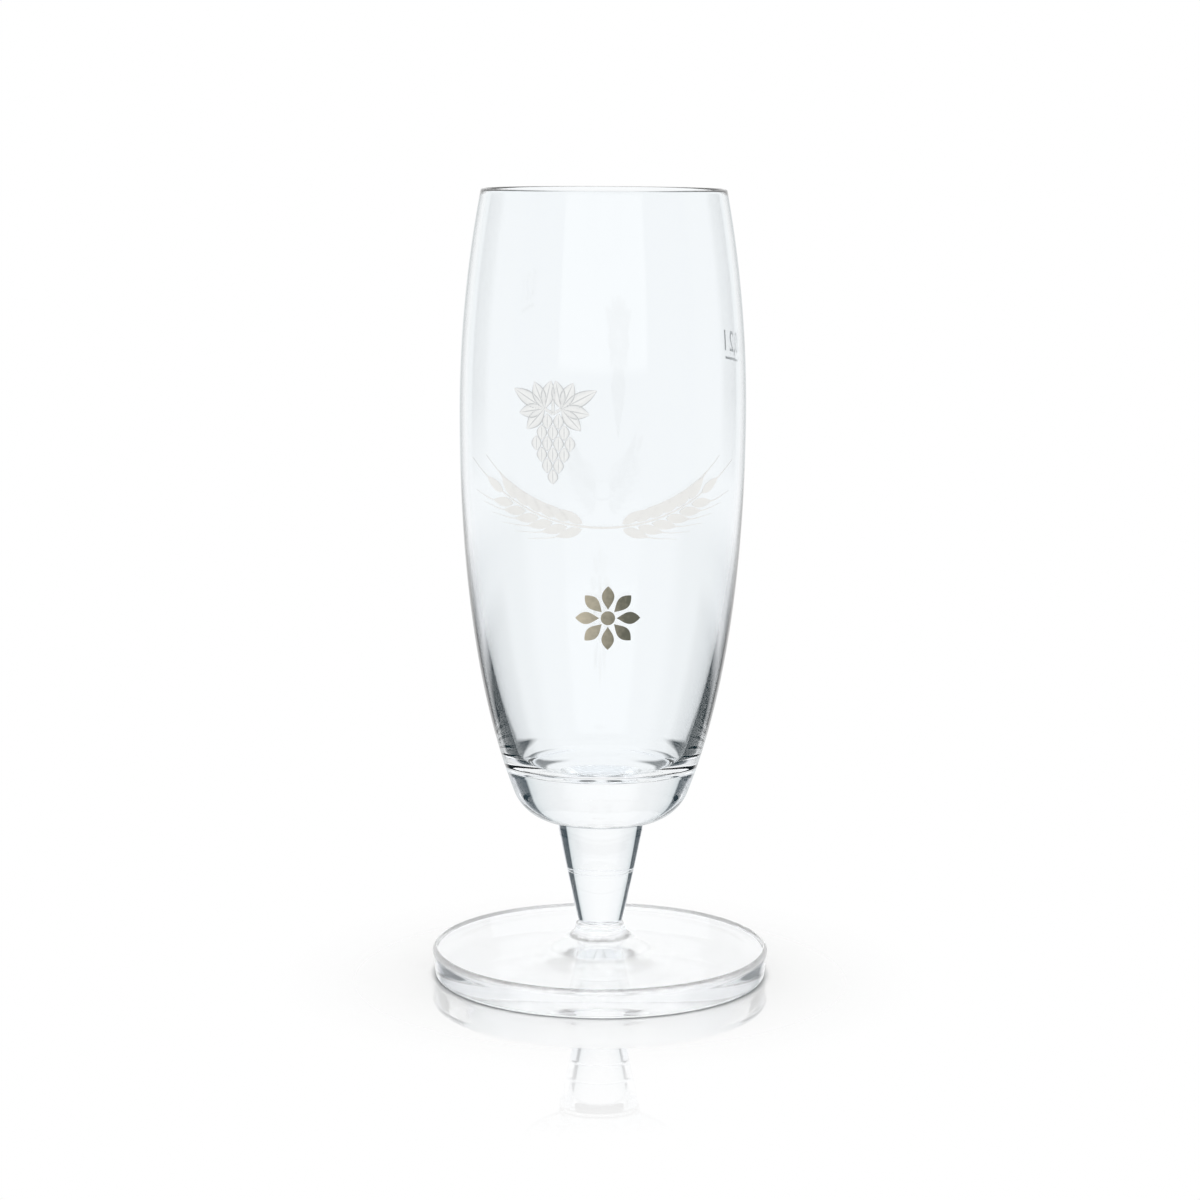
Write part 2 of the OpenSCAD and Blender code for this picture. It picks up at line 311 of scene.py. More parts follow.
def gold_lustre():
    """Liquid gold lustre, brushed on and fired: a thin metal skin, pale where it is thick and
    smoky olive where it is thin"""
    material, tree = new_material("gold_lustre")
    place = add_node(tree, "ShaderNodeTexCoord")
    across = add_node(tree, "ShaderNodeSeparateXYZ", {0: place.outputs["Object"]})
    # The lustre's tone goes from pale to dark olive across the rosette, from left to right
    left_to_right = add_node(
        tree, "ShaderNodeMapRange",
        {"Value": across.outputs["X"], "From Min": -6 * MM, "From Max": 8 * MM})
    mottle = add_node(
        tree, "ShaderNodeTexNoise",
        {"Vector": place.outputs["Object"], "Scale": 1 / (0.9 * MM), "Detail": 3.0})
    mixed = add_node(
        tree, "ShaderNodeMath", {0: mottle, 1: 0.4, 2: left_to_right}, operation="MULTIPLY_ADD")
    tone = add_node(
        tree, "ShaderNodeValToRGB", {"Fac": mixed},
        stops=[(0.2, colours().lustre_pale), (1.0, colours().lustre_dark)])
    bump = add_node(tree, "ShaderNodeBump", {"Height": mottle, "Distance": 0.02 * MM})
    lustre = add_node(
        tree, "ShaderNodeBsdfPrincipled",
        {"Base Color": tone, "Metallic": 0.85, "Roughness": 0.38, "Normal": bump})
    add_node(tree, "ShaderNodeOutputMaterial", {"Surface": lustre})
    return material


# Making pieces

def finish_piece(name, bm, materials, node):
    """Turn a bmesh into a piece that rides with the glass and stands for a node of the frame"""
    mesh = bpy.data.meshes.new(name)
    bm.to_mesh(mesh)
    bm.free()
    for material in materials:
        mesh.materials.append(material)
    piece = bpy.data.objects.new(name, mesh)
    bpy.context.scene.collection.objects.link(piece)
    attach(piece, "root")
    if node:
        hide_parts(node)


def arc(centre, radius, start, stop, steps):
    """Points of an arc, with its angles in degrees"""
    turns = [math.radians(start + (stop - start) * i / steps) for i in range(steps + 1)]
    x, y = centre
    return [Vector((x + radius * math.cos(a), y + radius * math.sin(a))) for a in turns]


def spin_glass(outline, contacts):
    """Spin an outline of (radius, height) that starts and ends on the axis. contacts holds the
    (radius, height) of each face that is fused to the next piece"""
    bm = bmesh.new()
    verts = [bm.verts.new((r, 0, z)) for r, z in outline]
    edges = [bm.edges.new(pair) for pair in zip(verts, verts[1:])]
    bmesh.ops.spin(
        bm, geom=verts + edges, axis=(0, 0, 1), cent=(0, 0, 0), angle=math.tau,
        steps=GLASS_SEGMENTS, use_merge=True)
    bmesh.ops.remove_doubles(bm, verts=bm.verts, dist=TOUCH)
    bmesh.ops.recalc_face_normals(bm, faces=bm.faces)
    for face in bm.faces:
        face.smooth = True
        middle = face.calc_center_median()
        level = max(abs(v.co.z - middle.z) for v in face.verts) < TOUCH
        face.material_index = int(level and any(
            abs(middle.z - z) < TOUCH and middle.xy.length < r for r, z in contacts))
    for edge in bm.edges:
        edge.smooth = edge.calc_face_angle(0.0) < CRISP_ANGLE
    return bm


def chord_radius(half_chord, rise):
    """Radius of the circle that bulges by rise over a half chord"""
    return (half_chord ** 2 + rise ** 2) / (2 * rise)


def bowl_z():
    """Height of the bowl's underside above the table"""
    s = sizes()
    return s.boss_h + s.stem_lower_h + s.stem_upper_h


def bowl_outside():
    """Outside of the bowl up to the lip's rounding, as (radius, height above its underside)"""
    s = sizes()
    belly_r = s.belly_d / 2
    heel = arc(
        (s.stem_top_d / 2, s.heel_round), s.heel_round, -90, -math.degrees(s.heel_lean), HEEL_STEPS)
    lean = Vector((math.sin(s.heel_lean), math.cos(s.heel_lean)))
    side = interpolate_bezier(
        heel[-1], heel[-1] + s.side_pull_low * lean,
        Vector((belly_r, s.belly_h - s.side_pull_high)), Vector((belly_r, s.belly_h)),
        SIDE_STEPS + 1)
    shoulder_h = s.bowl_h - s.lip_wall / 2 - s.belly_h
    radius = chord_radius(shoulder_h, s.mouth_draw)
    heights = [shoulder_h * i / SHOULDER_STEPS for i in range(1, SHOULDER_STEPS + 1)]
    shoulder = [
        Vector((belly_r - radius + math.sqrt(radius ** 2 - h ** 2), s.belly_h + h))
        for h in heights]
    return heel + side[1:] + shoulder


def radius_at(outline, height):
    """Radius of a rising outline at a height"""
    return float(numpy.interp(height, [p[1] for p in outline], [p[0] for p in outline]))


def bowl_outline():
    """The whole outline of the bowl, from the middle of its underside to its inner floor's"""
    s = sizes()
    outside = bowl_outside()
    floor_z = s.base_t + s.floor_dish

    def inside_r(h):
        taper = max(0.0, 1 - (h - floor_z) / s.wall_taper_h) ** s.wall_taper_power
        return radius_at(outside, h) - s.lip_wall - (s.base_wall - s.lip_wall) * taper

    mouth_r = s.belly_d / 2 - s.mouth_draw
    lip_r = s.lip_wall / 2
    lip = arc((mouth_r - lip_r, s.bowl_h - lip_r), lip_r, 0, 180, LIP_STEPS)
    corner_top = Vector((inside_r(floor_z + s.corner_h), floor_z + s.corner_h))
    lean = inside_r(floor_z + 2 * s.corner_h) - corner_top.x
    floor_r = corner_top.x - s.corner_h
    inside = [Vector((inside_r(p.y), p.y)) for p in reversed(outside) if p.y > corner_top.y]
    corner = interpolate_bezier(
        corner_top, corner_top - ROUND_SHARE * Vector((lean, s.corner_h)),
        Vector((floor_r + ROUND_SHARE * s.corner_h, floor_z)), Vector((floor_r, floor_z)),
        FLOOR_STEPS + 1)
    shares = [i / FLOOR_STEPS for i in range(FLOOR_STEPS - 1, -1, -1)]
    dish = [Vector((floor_r * t, s.base_t + s.floor_dish * t ** 2)) for t in shares]
    return [Vector((0, 0))] + outside + lip[1:-1] + inside + corner + dish


def stem_radius(h):
    """Radius of the stem at a height above the foot's boss"""
    s = sizes()
    t = h / (s.stem_lower_h + s.stem_upper_h)
    return (s.stem_foot_d + (s.stem_top_d - s.stem_foot_d) * t) / 2 + 4 * s.stem_bow * t * (1 - t)


def stem_outline(low, high, round_low, round_high):
    """Outline of a length of the stem between two heights above the boss. Both edges at the seam
    are rounded by the flame, which leaves the fine groove that shows across the stem"""
    heights = [low + (high - low) * i / STEM_STEPS for i in range(STEM_STEPS + 1)]
    side = [
        Vector((stem_radius(h), h)) for h in heights if low + round_low <= h <= high - round_high]
    bottom = [Vector((stem_radius(low) - round_low, low))]
    top = [Vector((stem_radius(high) - round_high, high))]
    if round_low:
        back = SEAM_SHARE * round_low
        bottom += [Vector((stem_radius(low) - back, low + back)),
                   Vector((stem_radius(low + round_low), low + round_low))]
    if round_high:
        back = SEAM_SHARE * round_high
        top = [Vector((stem_radius(high - round_high), high - round_high)),
               Vector((stem_radius(high) - back, high - back))] + top
    inner = side[0 if round_low else 1:len(side) if round_high else -1]
    return [Vector((0, low))] + bottom + inner + top + [Vector((0, high))]


def foot_outline():
    """Outline of the foot, from the middle of its hollow to the middle of its boss"""
    s = sizes()
    foot_r, boss_r = s.foot_d / 2, s.boss_d / 2
    sole_r = foot_r - s.edge_draft - s.sole_round
    hollow_r = sole_r - s.rest_w
    radius = chord_radius(hollow_r, s.sole_hollow)
    hollow = [
        Vector((r, s.sole_hollow - radius + math.sqrt(radius ** 2 - r ** 2)))
        for r in (hollow_r * i / FLOOR_STEPS for i in range(FLOOR_STEPS + 1))]
    sole = arc((sole_r, s.sole_round), s.sole_round, -90, 0, ROUND_STEPS)
    edge = arc((foot_r - s.edge_round, s.edge_h - s.edge_round), s.edge_round, 0, 90, ROUND_STEPS)
    fillet_z = s.edge_h + s.top_rise + s.boss_fillet
    fillet = arc((boss_r + s.boss_fillet, fillet_z), s.boss_fillet, 270, 180, ROUND_STEPS)
    # The flame drew the boss out into the stem, in a soft swell and with no edge
    joint = Vector((s.stem_foot_d / 2, s.boss_h))
    pull = Vector((0, s.boss_round))
    boss = interpolate_bezier(
        fillet[-1], fillet[-1] + pull, joint - pull, joint, ROUND_STEPS + 1)[1:-1]
    flank = [sole[-1].lerp(edge[0], i / FLANK_STEPS) for i in range(1, FLANK_STEPS)]
    top = [edge[-1].lerp(fillet[0], i / FLOOR_STEPS) for i in range(1, FLOOR_STEPS)]
    return hollow + sole + flank + edge + top + fillet + boss + [joint, Vector((0, s.boss_h))]


# Prints

def flat_drawing():
    """An empty flat drawing: X runs along the wall, Y up it and Z out of it"""
    bm = bmesh.new()
    bm.verts.layers.float.new("line")
    return bm


# Where the columns of a blade stand across it, and how far each is a drawn line
BLADE_COLUMNS = (-1.0, -0.78, -0.14, 0.0, 0.14, 0.78, 1.0)
BLADE_LINES = (1.0, 0.15, 0.0, 0.7, 0.0, 0.15, 1.0)
# How full a leaf is, as the power of a sine, and the breadth that its tips keep
LEAF_POWER, LEAF_TIP = 0.9, 0.02 * MM


def add_blade(bm, spine, width, steps=14, lines=BLADE_LINES):
    """Add a blade whose middle runs along spine(t) and whose breadth is width(t), t from 0 to 1"""
    layer = bm.verts.layers.float["line"]
    grid = bmesh.ops.create_grid(
        bm, x_segments=len(BLADE_COLUMNS) - 1, y_segments=steps, size=1.0)
    for v in grid["verts"]:
        column = round((v.co.x + 1) / 2 * (len(BLADE_COLUMNS) - 1))
        t = (v.co.y + 1) / 2
        step = 0.5 / steps
        ahead = (spine(min(1, t + step)) - spine(max(0, t - step))).normalized()
        aside = Vector((ahead.y, -ahead.x))
        place = spine(t) + aside * BLADE_COLUMNS[column] * width(t) / 2
        v.co = (place.x, place.y, 0)
        v[layer] = lines[column]


def straight(start, turn, reach):
    """A straight spine from start, turned clockwise from upright"""
    way = Vector((math.sin(turn), math.cos(turn)))
    return lambda t: start + way * reach * t


def curved(a, b, c, d):
    """A spine along a Bezier curve"""
    return lambda t: (
        a * (1 - t) ** 3 + b * 3 * t * (1 - t) ** 2 + c * 3 * t ** 2 * (1 - t) + d * t ** 3)


def leaf_width(broad, tip=1.0):
    """Breadth of a pointed leaf; a tip under 1 puts its widest place nearer its root"""
    return lambda t: broad * math.sin(math.pi * t ** tip) ** LEAF_POWER + LEAF_TIP


def stroke_width(broad, thin=0.3):
    """Breadth of a stroke that runs out thinner than it starts"""
    return lambda t: broad * (1 - (1 - thin) * t)


def lay_on_wall(bm, turn, z, thickness):
    """Give a flat drawing its thickness and bend it round the wall. turn is counted from the
    front, towards the right"""
    outside = bowl_outside()
    lift = bowl_z()
    bmesh.ops.remove_doubles(bm, verts=bm.verts, dist=PRINT_WELD)
    # The extrusion flips the faces that it leaves behind, so the drawing has to face off the wall
    bm.normal_update()
    bmesh.ops.reverse_faces(bm, faces=[face for face in bm.faces if face.normal.z < 0])
    raised = bmesh.ops.extrude_face_region(bm, geom=bm.faces[:])["geom"]
    bmesh.ops.translate(
        bm, vec=(0, 0, thickness), verts=[v for v in raised if isinstance(v, bmesh.types.BMVert)])
    for v in bm.verts:
        radius = radius_at(outside, z + v.co.y - lift)
        around = turn + v.co.x / radius
        out = radius + SKIN_GAP + v.co.z
        v.co = (out * math.sin(around), -out * math.cos(around), z + v.co.y)
    bm.normal_update()
    for face in bm.faces:
        face.smooth = True
    for edge in bm.edges:
        edge.smooth = edge.calc_face_angle(0.0) < CRISP_ANGLE


# Number of bracts in each row of the hop cone, from the stalk down
ROW_COUNTS = (2, 3, 4, 3, 2, 1)
# Angles of the five lobes of a hop leaf, and of the leaf itself
LOBE_TURNS = tuple(math.radians(a) for a in (-75, -38, 0, 38, 75))
LEAF_TURN = math.radians(62)
# Length of a side lobe and of the leaf's own stalk, as shares of the middle lobe
SIDE_LOBE_SHARE, LOBE_ROOT_SHARE = 0.72, 0.25
# Where the sprig's stalk bends, and how far its end leans, as shares of its length
STALK_BENDS, STALK_LEAN = (0.4, 0.7), 0.2
# Pairs of grains in an ear, their turn away from it, and how far apart they stand in its middle
EAR_PAIRS, GRAIN_TURN, GRAIN_ROOT_SHARE = 6, math.radians(24), 0.3
# Breadth of an ear's stalk, as a share of the sprig's
EAR_STALK_SHARE = 0.7
# A bristle starts just inside its grain's tip, is longer than the grain and bends in with the ear
AWN_ROOT_SHARE, AWN_SHARE = 0.96, 1.1
AWN_BENDS, AWN_OUT, AWN_AHEAD = (0.3, 0.33), 0.6, 0.5
PETALS, EYE_SEGMENTS = 8, 40
# Gap between the eye and the petals, as a share of a petal's breadth
PETAL_GAP_SHARE = 0.125
# Gap between the fill line and its numerals, and their height as a share of the font's size
NUMERAL_GAP, NUMERAL_SHARE = 1.6 * MM, 0.7
# Strips that the numerals are cut into on each side of their middle, and their breadth
STRIPS, STRIP_W = 12, 0.6 * MM


def draw_hop_leaf(bm, root, turn):
    """A five-lobed hop leaf on its stalk"""
    p = prints()
    way = Vector((math.sin(turn), math.cos(turn)))
    stalk_l = p.leaf_l * LOBE_ROOT_SHARE
    add_blade(bm, straight(root, turn, stalk_l), stroke_width(p.stalk_w, thin=0.8), steps=4)
    fork = root + way * stalk_l
    for lobe in LOBE_TURNS:
        reach = p.leaf_l * (1 if lobe == 0 else SIDE_LOBE_SHARE)
        add_blade(bm, straight(fork, turn + lobe, reach), leaf_width(p.lobe_w))


def draw_ear(bm, way):
    """One ear of barley: grains in pairs along its stalk, each with its bristle"""
    p = prints()
    ear_l = p.ear_start + p.grain_pitch * EAR_PAIRS

    def stalk(t):
        along = ear_l * t
        return Vector((way * along, p.ear_rise * (along / ear_l) ** 2))

    add_blade(bm, stalk, stroke_width(p.stalk_w * EAR_STALK_SHARE, thin=0.5), steps=24)
    grains = [
        (p.ear_start + p.grain_pitch * pair, row) for pair in range(EAR_PAIRS) for row in (-1, 1)]
    for along, row in grains + [(ear_l, 0)]:
        slope = math.atan(2 * p.ear_rise * along / ear_l ** 2)
        turn = way * (math.pi / 2 - slope)
        ahead = Vector((math.sin(turn), math.cos(turn)))
        aside = Vector((-ahead.y, ahead.x)) * way * row
        root = stalk(along / ear_l) + aside * p.grain_w * GRAIN_ROOT_SHARE
        grain_turn = turn - way * row * GRAIN_TURN
        add_blade(bm, straight(root, grain_turn, p.grain_l), leaf_width(p.grain_w, tip=0.8))
        reach = Vector((math.sin(grain_turn), math.cos(grain_turn)))
        tip = root + reach * p.grain_l * AWN_ROOT_SHARE
        awn_l = p.grain_l * AWN_SHARE
        awn = curved(
            tip, tip + reach * awn_l * AWN_BENDS[0], tip + (reach + ahead) * awn_l * AWN_BENDS[1],
            tip + (reach * AWN_OUT + ahead * AWN_AHEAD) * awn_l)
        add_blade(bm, awn, stroke_width(p.awn_w), steps=8, lines=(1.0,) * len(BLADE_COLUMNS))


class GLASS_OT_bowl(bpy.types.Operator):
    """Blown bowl with a rounded lip, a wall that thickens downwards and a solid base"""
    bl_idname = "glass.bowl"
    bl_label = "Bowl"

    def execute(self, context):
        s = sizes()
        lift = Vector((0, bowl_z()))
        bm = spin_glass([p + lift for p in bowl_outline()], [(s.stem_top_d / 2, bowl_z())])
        # The inner face gets no painted edge shade, so the painted shade at an edge shows only once
        for face in bm.faces:
            if face.normal.xy.dot(face.calc_center_median().xy) < 0:
                face.material_index = INNER_SLOT
        blown = soda_lime_glass(
            "blown_glass", wave_mm=26, wave_depth_mm=0.004, edge_shade_colour=colours().edge_shade_tone)
        inner = soda_lime_glass(
            "blown_glass_inside", wave_mm=26, wave_depth_mm=0.004, edge_shade_colour=colours().clear)
        finish_piece("bowl_glass", bm, [blown, fused_contact(), inner], "bowl")
        return {"FINISHED"}


class GLASS_OT_stem(bpy.types.Operator):
    """Drawn stem in two lengths, fused at the seam"""
    bl_idname = "glass.stem"
    bl_label = "Stem"

    def execute(self, context):
        s = sizes()
        lift = Vector((0, s.boss_h))
        seam, top = s.stem_lower_h, s.stem_lower_h + s.stem_upper_h
        drawn = soda_lime_glass(
            "drawn_glass", wave_mm=14, wave_depth_mm=0.004, edge_shade_colour=colours().clear)
        contact = bpy.data.materials["fused_contact"]
        lengths = (
            ("stem_upper", stem_outline(seam, top, s.seam_round, 0.0)),
            ("stem_lower", stem_outline(0.0, seam, 0.0, s.seam_round)))
        for node, outline in lengths:
            raised = [p + lift for p in outline]
            bm = spin_glass(raised, [(s.stem_top_d, raised[0].y), (s.stem_top_d, raised[-1].y)])
            finish_piece(node + "_glass", bm, [drawn, contact], node)
        return {"FINISHED"}


class GLASS_OT_foot(bpy.types.Operator):
    """Pressed foot with its boss, rounded edge and hollow sole"""
    bl_idname = "glass.foot"
    bl_label = "Foot"

    def execute(self, context):
        s = sizes()
        bm = spin_glass(foot_outline(), [(s.stem_foot_d / 2, s.boss_h)])
        pressed = soda_lime_glass(
            "pressed_glass", wave_mm=18, wave_depth_mm=0.006, edge_shade_colour=colours().clear,
            haze=0.01, unbent_share=0.1)
        contact = bpy.data.materials["fused_contact"]
        finish_piece("foot_glass", bm, [pressed, contact], "foot")
        return {"FINISHED"}


class GLASS_OT_hop_sprig(bpy.types.Operator):
    """Off-white hop sprig on the upper left of the front: a cone of bracts under two leaves"""
    bl_idname = "glass.hop_sprig"
    bl_label = "Hop sprig"

    def execute(self, context):
        p = prints()
        bm = flat_drawing()
        top = Vector((0, p.row_pitch))
        for row, count in enumerate(ROW_COUNTS):
            for i in range(count):
                root = top + Vector((p.bract_pitch * (i - (count - 1) / 2), -p.row_pitch * row))
                add_blade(
                    bm, straight(root, math.pi, p.bract_l), leaf_width(p.bract_w), steps=10)
        bends = [top + Vector((0, p.stalk_l * bend)) for bend in STALK_BENDS]
        stalk = curved(top, *bends, top + Vector((p.stalk_l * STALK_LEAN, p.stalk_l)))
        add_blade(bm, stalk, stroke_width(p.stalk_w, thin=0.6), steps=8)
        for side in (-1, 1):
            draw_hop_leaf(bm, top, side * LEAF_TURN)
        lay_on_wall(bm, p.sprig_turn, p.sprig_z, p.skin_t)
        enamel = fired_enamel("white_enamel", colours().enamel, colours().enamel_line)
        finish_piece("hop_sprig_enamel", bm, [enamel], "print_hop_sprig")
        return {"FINISHED"}


class GLASS_OT_barley_garland(bpy.types.Operator):
    """Off-white garland of two barley ears across the front"""
    bl_idname = "glass.barley_garland"
    bl_label = "Barley garland"

    def execute(self, context):
        p = prints()
        bm = flat_drawing()
        for way in (-1, 1):
            draw_ear(bm, way)
        lay_on_wall(bm, 0.0, p.garland_z, p.skin_t)
        # This is the frame's own white enamel, plain and even, and not the one of the sprig
        enamel = bpy.data.materials["white_enamel"]
        finish_piece("barley_garland_enamel", bm, [enamel], "print_barley_garland")
        return {"FINISHED"}


class GLASS_OT_rosette(bpy.types.Operator):
    """Small gold rosette, low on the front"""
    bl_idname = "glass.rosette"
    bl_label = "Rosette"

    def execute(self, context):
        p = prints()
        bm = flat_drawing()
        for i in range(PETALS):
            turn = math.tau * i / PETALS
            way = Vector((math.sin(turn), math.cos(turn)))
            root = way * (p.eye_d / 2 + p.petal_w * PETAL_GAP_SHARE)
            add_blade(bm, straight(root, turn, p.petal_l), leaf_width(p.petal_w, tip=1.2))
        bmesh.ops.create_circle(
            bm, cap_ends=True, cap_tris=True, radius=p.eye_d / 2, segments=EYE_SEGMENTS)
        lay_on_wall(bm, p.rosette_turn, p.rosette_z, p.skin_t)
        finish_piece("rosette_lustre", bm, [gold_lustre()], "print_rosette")
        return {"FINISHED"}


class GLASS_OT_fill_mark(bpy.types.Operator):
    """Grey fill line and the numerals of its volume, on the right of the bowl"""
    bl_idname = "glass.fill_mark"
    bl_label = "Fill mark"

    def execute(self, context):
        p = prints()
        grey = fired_enamel("grey_enamel", colours().fill_grey, colours().fill_grey)
        line = flat_drawing()
        run = straight(Vector((-p.fill_w / 2, 0)), math.pi / 2, p.fill_w)
        add_blade(line, run, stroke_width(p.fill_line_h, thin=1.0), steps=24)
        lay_on_wall(line, p.fill_turn, p.fill_z, p.skin_t)
        finish_piece("fill_line_enamel", line, [grey], "fill_line")
        numerals = flat_drawing()
        self.write(numerals, "0,2 l", p.numeral_h)
        lay_on_wall(numerals, p.fill_turn, p.fill_z + NUMERAL_GAP, p.skin_t)
        finish_piece("fill_numerals_enamel", numerals, [grey], None)
        return {"FINISHED"}

    def write(self, bm, words, height):
        """Add words as a flat mesh, cut into narrow strips so that it bends with the wall"""
        text = bpy.data.curves.new("numerals", "FONT")
        text.body = words
        text.align_x = "CENTER"
        text.size = height / NUMERAL_SHARE
        holder = bpy.data.objects.new("numerals", text)
        mesh = bpy.data.meshes.new_from_object(holder)
        bm.from_mesh(mesh)
        bpy.data.objects.remove(holder)
        bpy.data.curves.remove(text)
        bpy.data.meshes.remove(mesh)
        for i in range(-STRIPS, STRIPS + 1):
            bmesh.ops.bisect_plane(
                bm, geom=bm.verts[:] + bm.edges[:] + bm.faces[:], plane_co=(i * STRIP_W, 0, 0),
                plane_no=(1, 0, 0))


# The floor, and where it fades into the white sweep, in metres from the glass
FLOOR_R, FLOOR_SEGMENTS = 40.0, 96
SWEEP_STARTS = (0.036, 0.075)
# Breadth of the contact shadow painted at the foot, strength of the floor's polish, and where the
# polish ends
CONTACT_SHADOW_W = 2.2 * MM
POLISH, POLISH_IOR, POLISH_ENDS = 2.6, 1.5, (0.06, 0.112)

# The light tent, seen from the glass. Places around it are in degrees, from 0 straight behind the
# glass to HALF_TURN in front of it. Heights, falls and sidesteps are those of a direction of
# length 1. Two numbers give where a thing fades in, and four also where it fades out
HALF_TURN = 180
GAP_SKEW = math.radians(2.5)
GROUND_ENDS, WALLS_END = (-0.16, -0.07), (0.7, 0.85)
STRIPS_BEHIND, BEHIND_FALLS = (6, 10, 32, 36), (0.37, 0.41, 0.66, 0.72)
STRIPS_BESIDE, BESIDE_FALLS = (7, 12, 75, 85), (0.33, 0.38, 0.70, 0.78)
SKIRT_FALL, SKIRT_ASIDE, SKIRT_FAR = (0.17, 0.22), (0.34, 0.5), (-0.5, -0.3)
BOX_PLACES, BOX_HEIGHTS = (143.4, 144.6), (0.0, 0.02, 0.78, 0.82)
BOX_LIGHT = (1.36, 1.36, 1.38, 1.0)
# Most surfaces that light crosses in solid glass, and most turns back that still show the tent
SOLID_CROSSINGS, FEW_TURNS = 2.5, 3.5

# The camera, fitted to the photograph: its place, its tilt up from straight down, and its roll
CAMERA_PLACE = (-0.41 * MM, -653.06 * MM, 185.4 * MM)
CAMERA_TILT, CAMERA_ROLL = math.radians(90 - 8.865), math.radians(0.3)
LENS_MM = 91.01


def tent_stops(*stops):
    """Stops of a colour ramp from places around the tent and their colours"""
    return [(place / HALF_TURN, tone) for place, tone in stops]


def band(places, whole=1):
    """Stops of a colour ramp that is white from where a thing fades in to where it fades out"""
    return [(place / whole, tone) for place, tone in zip(places, (BLACK, WHITE, WHITE, BLACK))]


class GLASS_OT_stage(bpy.types.Operator):
    """Plain pale floor, soft studio light and the camera"""
    bl_idname = "glass.stage"
    bl_label = "Stage"

    def execute(self, context):
        self.lay_floor(context.scene)
        self.light_world(context.scene)
        self.set_camera(context.scene)
        context.scene.view_settings.view_transform = "Standard"
        # Light is turned back many times inside the thick base before it leaves it
        cycles = context.scene.cycles
        cycles.max_bounces = cycles.transmission_bounces = cycles.glossy_bounces = INNER_BOUNCES
        return {"FINISHED"}

    def lay_floor(self, scene):
        """A round white floor, polished enough to mirror the foot and the stem"""
        bm = bmesh.new()
        bmesh.ops.create_circle(bm, cap_ends=True, radius=FLOOR_R, segments=FLOOR_SEGMENTS)
        mesh = bpy.data.meshes.new("floor")
        bm.to_mesh(mesh)
        bm.free()
        mesh.materials.append(self.white_acrylic())
        floor = bpy.data.objects.new("floor", mesh)
        scene.collection.objects.link(floor)

    def white_acrylic(self):
        """Cast white acrylic sheet, polished: an even white body under a gloss that mirrors more
        at a flat angle, with a contact shadow painted as a dark ring round the foot's edge"""
        material, tree = new_material("white_acrylic")
        place = add_node(tree, "ShaderNodeTexCoord").outputs["Object"]
        path = add_node(tree, "ShaderNodeLightPath").outputs
        distance = add_node(tree, "ShaderNodeVectorMath", {0: place}, operation="LENGTH")
        # Painted contact shadow: the floor's colour is dark under the foot and out to a thin ring
        # past the resting ring's rounded edge, where hardly any light reaches
        s = sizes()
        edge_r = s.foot_d / 2 - s.edge_draft - s.sole_round
        seam = add_node(
            tree, "ShaderNodeMapRange",
            {"Value": distance, "From Min": edge_r, "From Max": edge_r + CONTACT_SHADOW_W})
        shadowed_sheet_tone = add_node(
            tree, "ShaderNodeMix",
            {"Factor": seam, "A": colours().painted_contact_shadow, "B": colours().floor}, data_type="RGBA")
        matt = add_node(tree, "ShaderNodeBsdfDiffuse", {"Color": shadowed_sheet_tone})
        # Away from the glass the floor runs out into the white sweep behind it
        sweep_starts = add_node(
            tree, "ShaderNodeMapRange",
            {"Value": distance, "From Min": SWEEP_STARTS[0], "From Max": SWEEP_STARTS[1]},
            interpolation_type="SMOOTHSTEP")
        sweep_seen = add_node(
            tree, "ShaderNodeMath", {0: sweep_starts, 1: path["Is Camera Ray"]},
            operation="MULTIPLY")
        sweep = add_node(tree, "ShaderNodeEmission", {"Color": WHITE})
        sheet = add_node(tree, "ShaderNodeMixShader", {0: sweep_seen, 1: matt, 2: sweep})
        # The polish doesn't show in the painted contact shadow, and is lost in the sweep's light
        # further out
        polish = add_node(tree, "ShaderNodeBsdfGlossy", {"Color": WHITE, "Roughness": 0.0})
        slant = add_node(tree, "ShaderNodeFresnel", {"IOR": POLISH_IOR})
        polish_ends = add_node(
            tree, "ShaderNodeMapRange",
            {"Value": distance, "From Min": POLISH_ENDS[0], "From Max": POLISH_ENDS[1],
             "To Min": POLISH, "To Max": 0.0})
        polish_seen = add_node(
            tree, "ShaderNodeMath", {0: seam, 1: polish_ends}, operation="MULTIPLY")
        mirror = add_node(
            tree, "ShaderNodeMath", {0: slant, 1: polish_seen}, operation="MULTIPLY",
            use_clamp=True)
        seen = add_node(tree, "ShaderNodeMixShader", {0: mirror, 1: sheet, 2: polish})
        # Bent or mirrored by the glass, light comes from the tent, and the floor shows the tent
        by_glass = add_node(
            tree, "ShaderNodeMath", {0: path["Is Glossy Ray"], 1: path["Is Transmission Ray"]},
            operation="MAXIMUM")
        open_to_tent = add_node(tree, "ShaderNodeBsdfTransparent")
        whole = add_node(tree, "ShaderNodeMixShader", {0: by_glass, 1: seen, 2: open_to_tent})
        add_node(tree, "ShaderNodeOutputMaterial", {"Surface": whole})
        return material

    def light_world(self, scene):
        """A white light tent, with a dark gap and a dark skirt on each side, dark strips low down
        and a soft box in front. Only light that the glass bends or mirrors comes from them, and
        the camera and the matt surfaces see plain white"""
        world = bpy.data.worlds.new("studio")
        world.use_nodes = True
        tree = world.node_tree
        tree.nodes.clear()
        path = add_node(tree, "ShaderNodeLightPath").outputs
        way = add_node(tree, "ShaderNodeTexCoord").outputs["Generated"]
        axes = add_node(tree, "ShaderNodeSeparateXYZ", {0: way}).outputs
        fall = add_node(tree, "ShaderNodeMath", {0: axes["Z"], 1: -1.0}, operation="MULTIPLY")
        turn = add_node(
            tree, "ShaderNodeMath", {0: axes["X"], 1: axes["Y"]}, operation="ARCTAN2")
